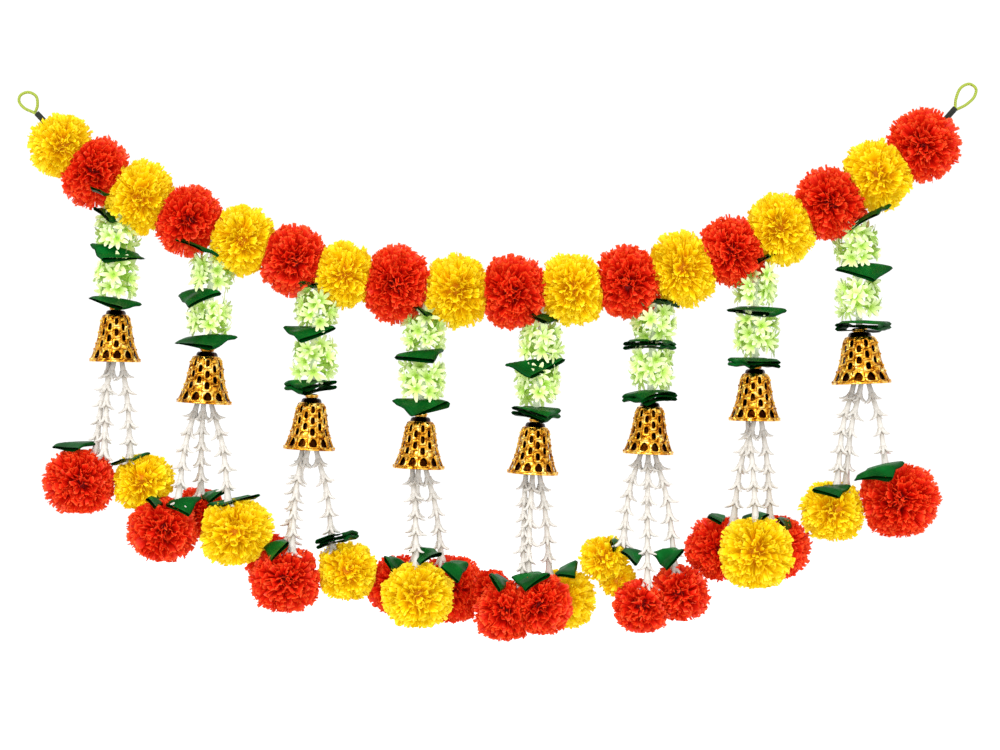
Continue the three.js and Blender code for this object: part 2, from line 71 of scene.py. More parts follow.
# The hangings: x of the bell, drop from the cord to the bell rim, blooms as (colour, dx, drop, y,
# radius), and strings as (bloom that it carries, dx, dy from the middle of that bloom's flat top)
HANGINGS = [
    dict(x=-382.5, rim=179,
         blooms=[("red", -33.5, 298, -6, 36.5), ("yellow", 27.5, 299.5, 4, 32)],
         strings=[(0, 26, -6), (0, 15, 8), (1, -11, -2)]),
    dict(x=-293.5, rim=171.5,
         blooms=[("red", -39.5, 296.5, -8, 36), ("yellow", 32.5, 299.5, -8, 37),
                 ("red", -8.5, 282, 24, 28)],
         strings=[(0, 16, -4), (2, 4, -6), (1, -6, 0)]),
    dict(x=-188.5, rim=182,
         blooms=[("red", -22.5, 311, -10, 36.5), ("yellow", 38, 303.5, 2, 32), ("red", -41, 291, 20, 26)],
         strings=[(0, 7, -4), (2, 20, 1), (1, -14, 0)]),
    dict(x=-79, rim=181,
         blooms=[("yellow", 0, 305.5, -22, 36), ("red", -21, 299, 18, 33),
                 ("red", 34, 303.5, 20, 37.5)],
         strings=[(0, -1, 4), (1, 17, -4), (2, -11, -6)]),
    dict(x=35, rim=182,
         blooms=[("red", -26, 316.5, -10, 34.5), ("red", 5.5, 311, -14, 34),
                 ("yellow", 32, 309, 24, 33), ("red", -44, 301.5, 12, 26)],
         strings=[(0, 16, 0), (1, -10, 4), (2, -15, -8)]),
    dict(x=150.5, rim=179,
         blooms=[("red", -7, 330, -8, 29.5), ("red", 31.5, 318, 0, 31), ("yellow", -43.5, 284, 4, 25),
                 ("yellow", -30, 305.5, 10, 19)],
         strings=[(2, 18, -4), (0, 5, -4), (1, -5, 0)]),
    dict(x=257, rim=181,
         blooms=[("yellow", -1, 311, -19, 39.5), ("red", -33, 310, 16, 35.5),
                 ("red", 22.5, 308.5, 18, 35.5)],
         strings=[(0, 0, 6), (1, 12, -2), (2, -6, -2)]),
    dict(x=364, rim=194,
         blooms=[("yellow", -28, 321.5, 4, 33), ("red", 36.5, 310, -6, 40.5)],
         strings=[(0, 2, -4), (0, 12, 6), (1, -14, 2)]),
]
CROWN_SHARE = 0.86        # height of a hung bloom's flat top, as a share of its radius
FOOT_SHARE = 0.86         # the same for its foot
STRING_END = np.array([0, -9, -5])     # of a jasmine string, from its place on the crown
GAP = 0.3
STRAW_RADIUS = 3.4
STRAW_TOP = 4.8           # above the cord's axis
CLUSTER_DROPS = [(49, 93.5), (39.5, 84.5), (39, 91), (44, 92), (51, 91), (47.5, 90.5), (44.5, 94), (54, 106)]
BELL_TOP = 56.0
BEAD_RADIUS, BEAD_BELOW = 4.5, 12.0
HUB_RADIUS, HUB_HEIGHT = 5.0, 8.0
THREAD_RADIUS = 0.9

# Ribbon folds on the straws: (x, height and depth of the middle, half width, half depth, droop in degrees,
# gap between two layers, tilt in degrees with the right end lower, arch, and the front corner: how far
# it is off the middle, as a share, with a minus where it is on the left)
STRAW_FOLDS = [
    [(-385, 147, -12, 17, 14, 22, 0.8, 24, 1, 0.3), (-377.5, 111, -11, 28.5, 15, 42, 0.9, 16, 2, -0.3),
     (-380.5, 61.5, -11, 27, 14, 25, 1, 8, 1, 0.4), (-393, 168, -30, 9.5, 5, 0, 0.5, 22, 0, 0.3)],
    [(-297, 114, -24, 23.5, 5, 7, 0.6, 22, 1, 0.3), (-296.5, 69, -11, 22.5, 15, 37, 1.3, -3, 5, -0.4),
     (-290.5, 23.5, -11, 33, 17, 35, 1.4, -4, 2, 0.2)],
    [(-185.5, 75.5, -10, 13, 12, 0, 0.7, 6, 1, 0.3), (-187, 33.5, -11, 26.5, 16, 32, 1.9, 0, -1, -0.3),
     (-186, -23, -11, 26.5, 16, 21, 4.6, 0, 0, -0.3)],
    [(-74, 50, -10, 16, 12, 6, 0.7, 27, 1, 0.3), (-78, 9, -11, 25, 14, 26, 2.3, -10, 0, 0.5),
     (-76, -39.5, -11, 29, 17, 36, 2.2, 2, 0, -0.3)],
    [(46, 45.5, -10, 15, 13, 22, 0.8, 12, 1, 0.3), (37.5, 0.5, -11, 30.5, 17, 40, 1.4, -6, 0, -0.3),
     (38.5, -49.5, -11, 25, 15, 24, 5, 3, 0, 0.4)],
    [(162.5, 59, -10, 20, 13, 0, 0.8, 6, 2, 0.3), (151.5, 17.5, -11, 27, 13, 5, 4.4, 0, 2.5, 0.4),
     (151.5, -34, -11, 28, 15, 23, 4.6, 0, 4, -0.3)],
    [(265.5, 103.5, -10, 16, 13, 0, 0.8, -25, 1, 0.3), (258, 52, -11, 30, 13, 24, 2.4, 2, 1.5, 0.4),
     (255.5, -0.5, -11, 27, 14, 11, 4.4, 2, 2, -0.3)],
    [(367, 143, -15, 28, 16, 7, 1, -31, 4, 0.4), (364.5, 95, -11, 28.5, 17, 43, 1.4, -2, 5, 0.3),
     (364, 36, -11, 28.5, 14, 16, 4, -1, 1, 0.4)],
]
# Ribbon folds on the bottom blooms, in the same order
STRING_FOLDS = [
    [(-421.5, -81.5, -12, 21.5, 13, 18, 1.0, -6, 1, 0.3), (-366, -96.5, -6, 20, 12, 11, 1.0, -16, 1, 0.3)],
    [(-337.5, -137, -22, 9, 12, 18, 1.0, 24, 1, 0.3), (-311, -137, -22, 17.5, 13, 40, 1.2, -10, 1, 0.3),
     (-286, -131.5, 4, 16, 12, 24, 1.2, -14, 1, -0.3),
     (-262.5, -137.5, -14, 27.5, 13, 13, 1.3, -10, 1, -0.3)],
    [(-220, -180.5, -22, 14.5, 13, 36, 1.3, -14, 1, -0.3), (-159.5, -176, -14, 22, 12, 0, 3.0, -14, 1, 0.4)],
    [(-102.5, -197, -14, 11, 11, 34, 1.2, 20, 1, 0.3), (-71.5, -188, -18, 17, 14, 36, 1.4, 6, 2, -0.3),
     (-42, -199.5, -36, 13.5, 12, 44, 1.4, 0, 1, 0.3)],
    [(2.5, -215, -26, 12.5, 11, 27, 1.2, 30, 1, 0.3), (33, -211.5, -28, 19.5, 13, 35, 1.6, -6, 2, -0.3),
     (68.5, -206, -2, 13.5, 11, 34, 1.2, -28, 1, 0.3)],
    [(118.5, -180, -4, 7, 10, 28, 1.0, 34, 1, 0.3), (135, -188.5, -12, 13, 12, 34, 1.6, 10, 1, 0.3),
     (169, -188, -16, 16, 13, 44, 1.6, -6, 1, -0.3)],
    [(219.5, -155, 2, 10.5, 11, 15, 1.0, 8, 1, 0.3), (256, -152.5, -16, 13, 12, 32, 1.5, -14, 1, -0.3),
     (288.5, -159, 2, 11, 11, 29, 1.2, 22, 1, 0.3)],
    [(331, -125, -22, 20, 13, 26, 1.2, -4, 1, 0.3), (377, -106.5, -25, 26.5, 15, 37, 1.4, -20, 3, 0.3)],
]

# Detail of the petals and flowers
PETALS = 470              # ruffled strips in a bloom of PETAL_RADIUS
PETAL_RADIUS = 37.0
PETAL_TABS = 3            # square tabs that slits make of a strip's end
TAB_COLUMNS = 3           # points across one tab
PETAL_ROWS = np.array([0.3, 0.7, 0.9, 1.0])      # shares of a strip's reach
PETAL_DEPTHS = np.array([0.0, 0.45, 0.82, 1.0])  # for the cloth's colour, at the same rows: painted shade at the roots, painted highlight at the ends
CORE_SHARE = 0.5          # radius of a bloom's core, as a share of its own
PRESSED_OVER = 7.0        # how far a bloom's ends reach past the plane where it meets its neighbour
FLATTENED = 9.0           # the same, where a bloom is flattened as a whole
STAR_FLOWERS = 7          # round the straw, at each level of a cluster
STAR_LEVELS = (-7.5, 0.0, 7.5)
STAR_PETALS = 7
STAR_PETAL = 16.0         # length
FOLD_LENGTHS, FOLD_WIDTHS = 25, 13     # points along and across one layer of a ribbon fold
JASMINE_PITCH = 17.0
JASMINE_PETALS = 5
BELL_COLUMNS = 14
BELL_WINDOWS = 12         # round the foot
BELL_PITCH = 11.3         # height of a cell of the openwork
BELL_WINDOW = (0.5, 0.56)              # width and height, as shares of its cell
BELL_ARCH = (0.58, 0.8), 0.5           # the same near the rim, and how far it narrows to its top
BELL_RIM = 2.5            # where the arched windows start
BELL_FOOT = 12.5          # where the other cells start
BELL_SHOULDER = 46.4      # where they end
BELL_WALL = 1.4
CELL_POINTS = 16          # round one cell
SHADE_SHEET_GAP = 0.7          # between the wall and the dark sheet of painted shade inside it, near the rim
BELL_SCALES = [0.93, 1.0, 0.94, 0.94, 0.93, 0.92, 0.94, 1.08]
# First seeds of the random draws. Each piece adds its own number.
TOP_SEED, BOTTOM_SEED, STAR_SEED = 11, 900, 70
STRAW_FOLD_SEED, STRING_FOLD_SEED, JASMINE_SEED = 140, 240, 300


def bell_outline():
    """Radius by height of the bell's openwork wall, as two rows."""
    return np.array([[2.5, 7, 14, 23.5, 35, 42, 46.5], [26.2, 24.0, 21.3, 18.7, 16.7, 15.3, 13.4]])


def cord_height(x):
    reach = x - LOWEST_X
    span, power = (LEFT_SPAN, LEFT_POWER) if reach < 0 else (RIGHT_SPAN, RIGHT_POWER)
    return LOWEST_Z + SAG * (abs(reach) / span) ** power


def cord_point(x):
    return np.array([x, 0.0, cord_height(x)])


def bloom_centres():
    """Centres of the top blooms, stepped along the cord by its length."""
    centres = [cord_point(LOWEST_X - LEFT_SPAN)]
    while len(centres) < len(TOP_RADII):
        pitch = PITCHES[len(centres) - 1]
        x = centres[-1][0]
        while np.linalg.norm(cord_point(x) - centres[-1]) < pitch:
            x += 0.05
        centres.append(cord_point(x))
    return np.array(centres)


CENTRES = bloom_centres()
BLOOM_PLACES = CENTRES + [[dx, 0, dz] for dx, dz in TOP_SHIFTS]


def unit(vector):
    return vector / np.linalg.norm(vector, axis=-1, keepdims=True)


def spline(points, steps):
    """A centripetal Catmull-Rom curve through the points, with this many steps on each span."""
    points = np.asarray(points, float)
    points = np.vstack([2 * points[0] - points[1], points, 2 * points[-1] - points[-2]])
    curve = []
    for before, start, end, after in zip(points, points[1:], points[2:], points[3:]):
        gaps = [max(np.linalg.norm(b - a), 1e-6) ** 0.5
                for a, b in ((before, start), (start, end), (end, after))]
        leave = ((start - before) / gaps[0] - (end - before) / (gaps[0] + gaps[1])
                 + (end - start) / gaps[1]) * gaps[1]
        arrive = ((end - start) / gaps[1] - (after - start) / (gaps[1] + gaps[2])
                  + (after - end) / gaps[2]) * gaps[1]
        t = np.arange(steps)[:, None] / steps
        curve.append(start + leave * t + (3 * (end - start) - 2 * leave - arrive) * t ** 2
                     + (2 * (start - end) + leave + arrive) * t ** 3)
    return np.vstack(curve + [points[-2:-1]])


def spaced(curve, distances):
    """The points of a curve at these distances along it."""
    steps = np.linalg.norm(np.diff(curve, axis=0), axis=1)
    along = np.concatenate([[0.0], np.cumsum(steps)])
    return np.stack([np.interp(distances, along, curve[:, k]) for k in range(3)], axis=1)


def curve_length(curve):
    return float(np.linalg.norm(np.diff(curve, axis=0), axis=1).sum())


def grid_faces(rows, columns, closed=False):
    """The quads of a grid of points, stored row by row. A closed grid joins its last column to its first."""
    row, column = np.meshgrid(np.arange(rows - 1), np.arange(columns if closed else columns - 1),
                              indexing="ij")
    right = (column + 1) % columns
    corners = [row * columns + column, row * columns + right,
               (row + 1) * columns + right, (row + 1) * columns + column]
    return np.stack([corner.ravel() for corner in corners], axis=1)


class Skin:
    """The faces of one piece, with a depth and a shade for its material at every point."""

    def __init__(self):
        self.points, self.faces, self.depths, self.shades = [], [], [], []
        self.count = 0

    def add(self, points, faces, depth=1.0, shade=0.5):
        points = np.asarray(points, float).reshape(-1, 3)
        self.points.append(points)
        self.faces.append(np.asarray(faces) + self.count)
        for store, value in ((self.depths, depth), (self.shades, shade)):
            value = np.asarray(value, float)
            store.append(value.ravel() if value.size > 1 else np.full(len(points), float(value)))
        self.count += len(points)

    def tube(self, path, radii, sides, depth=1.0):
        """A round tube along a path, with flat ends. radii and depth are one value, or one for each point."""
        path = np.asarray(path, float)
        rings = tube_points(path, radii, sides)
        depths = np.broadcast_to(depth, (len(path),))
        self.add(rings, grid_faces(len(path), sides, closed=True)[:, ::-1], np.repeat(depths, sides))
        for end, order in ((0, 1), (-1, -1)):
            self.add(rings[end], [np.arange(sides)[::order]], depths[end])

    def area(self):
        """The area of all its quads, in square millimetres."""
        points = np.vstack(self.points)
        quads = points[np.vstack([faces for faces in self.faces if faces.shape[1] == 4])]
        diagonals = np.cross(quads[:, 2] - quads[:, 0], quads[:, 3] - quads[:, 1])
        return float(np.linalg.norm(diagonals, axis=1).sum() / 2)

    def piece(self, name, material, slot, *nodes, smooth=True):
        """Makes the piece's object, riding on the garland in place of its solids."""
        mesh = bpy.data.meshes.new(name)
        points = (np.vstack(self.points) + CENTRING) * MM
        mesh.vertices.add(len(points))
        mesh.vertices.foreach_set("co", points.ravel())
        loops = np.concatenate([faces.ravel() for faces in self.faces])
        sizes = np.concatenate([np.full(len(faces), faces.shape[1]) for faces in self.faces])
        mesh.loops.add(len(loops))
        mesh.loops.foreach_set("vertex_index", loops.astype(np.int32))
        mesh.polygons.add(len(sizes))
        starts = np.concatenate([[0], np.cumsum(sizes)[:-1]])
        mesh.polygons.foreach_set("loop_start", starts.astype(np.int32))
        mesh.update(calc_edges=True)
        for attribute, values in (("depth", self.depths), ("shade", self.shades)):
            layer = mesh.attributes.new(attribute, "FLOAT", "POINT")
            layer.data.foreach_set("value", np.concatenate(values).astype(np.float32))
        if smooth:
            mesh.shade_smooth()
        mesh.materials.append(material)
        made = bpy.data.objects.new(name, mesh)
        bpy.context.scene.collection.objects.link(made)
        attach(made, "root")
        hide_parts(*nodes)
        return made


def tube_points(path, radii, sides):
    """Rings of points round a path, turned as little as the path allows from one to the next."""
    tangents = unit(np.gradient(path, axis=0))
    helper = RIGHT if abs(tangents[0] @ RIGHT) < 0.8 else UP
    side = unit(helper - tangents[0] * (helper @ tangents[0]))
    angles = np.arange(sides) * 2 * np.pi / sides
    radii = np.broadcast_to(np.asarray(radii, float), (len(path),))
    rings = []
    for point, tangent, radius in zip(path, tangents, radii):
        side = unit(side - tangent * (side @ tangent))
        other = np.cross(tangent, side)
        rings.append(point + radius * (np.cos(angles)[:, None] * side + np.sin(angles)[:, None] * other))
    return np.array(rings)


def revolved(skin, outline, sides, depth=1.0):
    """A turned form round the z axis, from (height, radius) rows."""
    outline = np.asarray(outline, float)
    angles = np.arange(sides) * 2 * np.pi / sides
    height, radius = outline[:, 0, None], outline[:, 1, None]
    points = np.stack([radius * np.cos(angles), radius * np.sin(angles),
                       height * np.ones_like(angles)], axis=2)
    depths = np.repeat(np.broadcast_to(depth, (len(outline),)), sides)
    skin.add(points, grid_faces(len(outline), sides, closed=True), depths)


# Materials
class Surface:
    """A material with one Principled shader, and short ways to add its nodes."""

    def __init__(self, name, roughness, metallic=0.0, **sockets):
        self.material = bpy.data.materials.new(name)
        self.material.use_nodes = True
        self.nodes = self.material.node_tree.nodes
        self.links = self.material.node_tree.links
        self.shader = self.nodes["Principled BSDF"]
        self.shader.inputs["Roughness"].default_value = roughness
        self.shader.inputs["Metallic"].default_value = metallic
        for socket, value in sockets.items():
            self.shader.inputs[socket.replace("_", " ")].default_value = value

    def attribute(self, name):
        node = self.nodes.new("ShaderNodeAttribute")
        node.attribute_name = name
        return node.outputs["Fac"]

    def noise(self, scale, detail=3.0, stretch=(1, 1, 1)):
        place = self.nodes.new("ShaderNodeTexCoord")
        mapping = self.nodes.new("ShaderNodeMapping")
        mapping.inputs["Scale"].default_value = stretch
        node = self.nodes.new("ShaderNodeTexNoise")
        node.inputs["Scale"].default_value = scale
        node.inputs["Detail"].default_value = detail
        self.links.new(place.outputs["Object"], mapping.inputs["Vector"])
        self.links.new(mapping.outputs["Vector"], node.inputs["Vector"])
        return node.outputs["Fac"]

    def wave(self, scale, distortion, direction="X"):
        place = self.nodes.new("ShaderNodeTexCoord")
        node = self.nodes.new("ShaderNodeTexWave")
        node.bands_direction = direction
        node.inputs["Scale"].default_value = scale
        node.inputs["Distortion"].default_value = distortion
        self.links.new(place.outputs["Object"], node.inputs["Vector"])
        return node.outputs["Fac"]

    def ramp(self, source, stops):
        """Colours by value. Each stop is a place and a colour or a grey."""
        node = self.nodes.new("ShaderNodeValToRGB")
        elements = node.color_ramp.elements
        while len(elements) < len(stops):
            elements.new(0.5)
        for element, (position, colour) in zip(elements, stops):
            element.position = position
            element.color = (*colour, 1) if np.ndim(colour) else (colour, colour, colour, 1)
        self.links.new(source, node.inputs["Fac"])
        return node.outputs["Color"]

    def multiplied(self, first, second):
        node = self.nodes.new("ShaderNodeMix")
        node.data_type = "RGBA"
        node.blend_type = "MULTIPLY"
        node.inputs["Factor"].default_value = 1.0
        self.links.new(first, node.inputs["A"])
        self.links.new(second, node.inputs["B"])
        return node.outputs["Result"]

    def colour(self, source, glows=False):
        self.links.new(source, self.shader.inputs["Base Color"])
        if glows:
            self.links.new(source, self.shader.inputs["Emission Color"])

    def roughness(self, source):
        self.links.new(source, self.shader.inputs["Roughness"])

    def bump(self, height, strength, distance):
        node = self.nodes.new("ShaderNodeBump")
        node.inputs["Strength"].default_value = strength
        node.inputs["Distance"].default_value = distance
        self.links.new(height, node.inputs["Height"])
        self.links.new(node.outputs["Normal"], self.shader.inputs["Normal"])


def petal_cloth(name, stops):
    """Ruffled cloth strips, with painted shade at their roots and painted highlights along their cut ends.
    A faint glow stands for the light that passes through them."""
    cloth = Surface(name, roughness=0.55, Specular_IOR_Level=0.35, Emission_Strength=0.12)
    body = cloth.ramp(cloth.attribute("depth"), stops)
    strips = cloth.ramp(cloth.attribute("shade"), [(0.0, 0.86), (0.5, 0.98), (1.0, 1.0)])
    patches = cloth.ramp(cloth.noise(90, 2), [(0.3, 0.9), (0.7, 1.0)])
    cloth.colour(cloth.multiplied(cloth.multiplied(body, strips), patches), glows=True)
    cloth.bump(cloth.noise(1400, 2), 0.25, 0.0006)
    return cloth.material


def star_plastic():
    # A glow of its own colour lifts the flowers' shade: painted light. The colour is darker towards the root.
    plastic = Surface("star_flower_plastic", roughness=0.5, Emission_Strength=0.1)
    body = plastic.ramp(plastic.attribute("depth"), [
        (0.0, (0.2, 0.4, 0.02)), (0.25, (0.44, 0.72, 0.08)),
        (0.6, (0.65, 0.86, 0.27)), (1.0, (0.82, 0.92, 0.56))])
    petals = plastic.ramp(plastic.attribute("shade"), [(0.0, 0.78), (1.0, 1.0)])
    plastic.colour(plastic.multiplied(body, petals), glows=True)
    plastic.bump(plastic.noise(500, 3, (1, 1, 0.3)), 0.2, 0.0005)
    return plastic.material


def satin():
    ribbon = Surface("green_satin", roughness=0.4, Specular_IOR_Level=0.25,
                     Specular_Tint=(0.1, 0.7, 0.2, 1.0))
    body = ribbon.ramp(ribbon.noise(45, 2), [
        (0.3, (0.0, 0.035, 0.003)), (0.55, (0.0, 0.07, 0.007)), (0.75, (0.002, 0.13, 0.016))])
    # Painted shade: the lower layer and the folded ends, which fold() gives a low depth, come out dark
    folds = ribbon.ramp(ribbon.attribute("depth"), [(0.0, 0.15), (0.5, 0.7), (1.0, 1.0)])
    ribbon.colour(ribbon.multiplied(body, folds))
    ribbon.bump(ribbon.wave(700, 1.5), 0.15, 0.0003)
    return ribbon.material


def straw_plastic():
    # A glow of its own colour lifts the straw where the flowers shade it: painted light
    straw = Surface("straw_plastic", roughness=0.35, Emission_Strength=0.25)
    body = straw.ramp(straw.noise(60, 3, (1, 1, 4)), [
        (0.3, (0.62, 0.72, 0.46)), (0.6, (0.76, 0.84, 0.62)), (0.8, (0.84, 0.9, 0.74))])
    straw.colour(body, glows=True)
    straw.bump(straw.wave(500, 2.0, "Z"), 0.2, 0.0003)
    return straw.material


def gold():
    """Metallised plastic, lumpy from its casting, with painted reflections in a random mottle and painted
    shade where the openwork is deep.
    """
    metal = Surface("gold_plastic", roughness=0.22, metallic=1.0)
    # A random mottle over the metal's own tone, with dark brown and pale gold standing for reflections on the
    # lumps: painted reflections
    cast_tone_and_painted_gleam = metal.ramp(metal.noise(210, 3), [
        (0.34, (0.22, 0.06, 0.002)), (0.44, (0.62, 0.25, 0.012)),
        (0.55, (0.9, 0.5, 0.05)), (0.68, (1.0, 0.78, 0.27))])
    # Painted shade: near black at depth 0 and brown at 0.5, in the windows, on the inside and along the
    # cells' edges
    deep = metal.ramp(metal.attribute("depth"), [
        (0.0, (0.03, 0.012, 0.004)), (0.5, (0.4, 0.22, 0.1)), (1.0, (1.0, 1.0, 1.0))])
    metal.colour(metal.multiplied(cast_tone_and_painted_gleam, deep))
    metal.roughness(metal.ramp(metal.noise(700, 2), [(0.3, 0.14), (0.7, 0.34)]))
    metal.bump(metal.noise(260, 2), 0.55, 0.002)
    return metal.material


def jasmine_plastic():
    plastic = Surface("jasmine_plastic", roughness=0.45)
    # Darker at low depth: painted shade at each tube's foot, under the petals of the flower before it. The
    # thread and the knot take the same dark end.
    plastic.colour(plastic.ramp(plastic.attribute("depth"), [
        (0.0, (0.3, 0.25, 0.19)), (0.35, (0.43, 0.39, 0.33)), (1.0, (0.64, 0.61, 0.56))]))
    plastic.bump(plastic.noise(400, 2), 0.15, 0.0004)
    return plastic.material


def twisted_cord(name, dark, light, roughness):
    cord = Surface(name, roughness=roughness)
    cord.colour(cord.ramp(cord.wave(260, 1.0, "DIAGONAL"), [(0.2, dark), (0.7, light)]))
    cord.bump(cord.wave(260, 1.0, "DIAGONAL"), 0.4, 0.0006)
    return cord.material


# Blooms
def even_directions(count, random):
    """Directions spread evenly over a ball, then jittered."""
    index = np.arange(count) + 0.5
    height = 1 - 2 * index / count
    turn = index * math.pi * (1 + 5 ** 0.5)
    flat = np.sqrt(1 - height ** 2)
    directions = np.stack([flat * np.cos(turn), flat * np.sin(turn), height], axis=1)
    return unit(directions + random.normal(0, 0.55 / math.sqrt(count), directions.shape))


def pressed(offsets, radius, walls, slack=0.0):
    """Flattens a bloom towards its walls, and holds back what still lies beyond them, softly."""
    for normal, distance in walls:
        towards = offsets @ normal
        flatter = min(1.0, (distance + FLATTENED) / radius)
        moved = np.where(towards > 0, towards * flatter, towards)
        start = 0.8 * distance
        room = distance - start + PRESSED_OVER + slack
        over = np.maximum(moved - start, 0)
        moved = np.where(moved > start, start + room * (1 - np.exp(-over / room)), moved)
        offsets = offsets + (moved - towards)[..., None] * normal
    return offsets


def bloom(skin, random, centre, radius, walls, half_width, notch):
    """A pompom: wide ruffled strips that radiate from a core, cut into squared tabs at their ends."""
    count = int(PETALS * (radius / PETAL_RADIUS) ** 2)
    columns = TAB_COLUMNS * PETAL_TABS
    shape = (count, len(PETAL_ROWS), columns)
    outward = even_directions(count, random)
    helper = np.where(np.abs(outward[:, 2:]) < 0.9, UP, RIGHT)
    first = unit(np.cross(outward, helper))
    second = np.cross(outward, first)
    roll = random.uniform(0, 2 * np.pi, (count, 1))
    across = np.cos(roll) * first + np.sin(roll) * second
    normal = np.cross(outward, across)

    def each(low, high):
        return random.uniform(low, high, (count, 1, 1))

    def each_tab(low, high):
        return np.repeat(random.uniform(low, high, (count, 1, PETAL_TABS)), TAB_COLUMNS, axis=2)

    edges = np.linspace(-1, 1, PETAL_TABS + 1)
    middles = np.repeat((edges[:-1] + edges[1:]) / 2, TAB_COLUMNS)
    inside = np.tile(np.linspace(-1, 1, TAB_COLUMNS), PETAL_TABS)
    rows = PETAL_ROWS[None, :, None]
    u = middles + inside / PETAL_TABS * (1 - 0.2 * rows ** 5)
    width = half_width * each(0.75, 1.3) * (0.4 + 0.6 * rows)
    reach = radius * each(0.92, 1.09)
    cut = notch * radius * each_tab(0, 1) + each_tab(-0.7, 0.7) * inside + 0.03 * radius * u ** 2
    along = reach * rows - cut * rows ** 8
    ruffle = each(1.2, 2.8) * rows ** 1.5 * np.sin(each(0, 6.28) + each(0.6, 1.4) * np.pi * u)
    crease = each(-2.4, 2.4) * rows * (0.5 - np.abs(u))
    curl = (each(-2.0, 2.0) + each_tab(-1.5, 1.5)) * rows ** 6
    bend = each(-4.5, 4.5) * rows ** 2.5
    lean = each(-4.0, 4.0) * rows ** 2.5 + each_tab(-0.7, 0.7) * rows ** 6
    offsets = (outward[:, None, None] * np.broadcast_to(along, shape)[..., None]
               + across[:, None, None] * (u * width + lean)[..., None]
               + normal[:, None, None] * (ruffle + crease + curl + bend)[..., None])
    offsets = pressed(offsets, radius, walls, slack=each(-4.0, 4.0))
    quads = grid_faces(len(PETAL_ROWS), columns)
    quads = quads[quads[:, 0] % TAB_COLUMNS != TAB_COLUMNS - 1]    # no faces over the slits
    steps = np.arange(count)[:, None, None] * len(PETAL_ROWS) * columns
    skin.add(offsets + centre, (quads[None] + steps).reshape(-1, 4),
             np.broadcast_to(PETAL_DEPTHS[None, :, None], shape), np.broadcast_to(each(0, 1), shape))
    core(skin, centre, CORE_SHARE * radius, walls)


def core(skin, centre, radius, walls):
    """The bound heart of a bloom, glimpsed between its petals."""
    rows, columns = 9, 14
    latitudes = np.linspace(-0.5, 0.5, rows)[:, None] * np.pi
    longitudes = np.arange(columns)[None, :] * 2 * np.pi / columns
    offsets = radius * np.stack([np.cos(latitudes) * np.cos(longitudes),
                                 np.cos(latitudes) * np.sin(longitudes),
                                 np.sin(latitudes) * np.ones_like(longitudes)], axis=2)
    # Depth 0 gives it the cloth's darkest colour: painted shade between the petals
    skin.add(pressed(offsets, radius, walls) + centre, grid_faces(rows, columns, closed=True), 0.0)


def wall_between(centre, other, share=0.5):
    """The plane where two blooms press together, as the first one's direction and distance to it."""
    apart = other - centre
    distance = np.linalg.norm(apart)
    return apart / distance, distance * share - GAP / 2


PETAL_CUT = {"red": (5.6, 0.12), "yellow": (5.0, 0.1)}     # half width, and how unequal the tabs are
# By depth: the dark roots and core are painted shade, the bright cut ends painted highlights
CLOTH = {
    "red": petal_cloth("red_petal_cloth", [
        (0.0, (0.28, 0.001, 0.0)), (0.45, (0.72, 0.008, 0.0)),
        (0.85, (0.84, 0.027, 0.002)), (1.0, (0.95, 0.115, 0.016))]),
    "yellow": petal_cloth("yellow_petal_cloth", [
        (0.0, (0.86, 0.4, 0.0)), (0.45, (0.95, 0.63, 0.0)),
        (0.85, (0.96, 0.73, 0.0)), (1.0, (1.0, 0.79, 0.03))]),
}


def top_blooms():
    for index, radius in enumerate(TOP_RADII):
        colour = "red" if index % 2 else "yellow"
        centre = BLOOM_PLACES[index]
        walls = [wall_between(centre, BLOOM_PLACES[near]) for near in (index - 1, index + 1)
                 if 0 <= near < len(TOP_RADII)]
        skin = Skin()
        bloom(skin, np.random.default_rng(TOP_SEED + index), centre, radius, walls, *PETAL_CUT[colour])
        number = f"{index + 1:02d}"
        skin.piece(f"pompom_{number}", CLOTH[colour], f"{colour}_petals", f"top_bloom_{number}",
                   smooth=False)


# The hangings' places
def tie_x(index):
    return (CENTRES[2 * index + 1][0] + CENTRES[2 * index + 2][0]) / 2


class Hang:
    """One hanging's own upright frame: its origin at its tie on the cord, leaning to its bell."""

    def __init__(self, index):
        self.index, self.number = index, index + 1
        self.facts = HANGINGS[index]
        self.tie = cord_point(tie_x(index))
        self.lean = math.atan2(self.tie[0] - self.facts["x"], self.facts["rim"])
        self.rim = self.facts["rim"] / math.cos(self.lean)
        self.crown = BELL_TOP - self.rim
        self.hub_top = self.crown - BEAD_BELOW - BEAD_RADIUS - GAP

    def place(self, points):
        """Points of the hanging's frame, in the garland's frame."""
        points = np.asarray(points, float)
        cos, sin = math.cos(self.lean), math.sin(self.lean)
        turned = np.stack([points[..., 0] * cos + points[..., 2] * sin, points[..., 1],
                           -points[..., 0] * sin + points[..., 2] * cos], axis=-1)
        return turned + self.tie

    def bloom_centre(self, bloom_index):
        _, dx, drop, y, _ = self.facts["blooms"][bloom_index]
        return np.array([self.facts["x"] + dx, y, self.tie[2] - drop])

    def bloom_crown(self, bloom_index):
        lift = self.facts["blooms"][bloom_index][4] * CROWN_SHARE + GAP
        return self.bloom_centre(bloom_index) + lift * UP


HANGS = [Hang(index) for index in range(len(HANGINGS))]
HUNG = [dict(node=f"bunch_{facts[0]}_{hang.number}", colour=facts[0], number=hang.number,
             centre=hang.bloom_centre(i), radius=facts[4])
        for hang in HANGS for i, facts in enumerate(hang.facts["blooms"])]


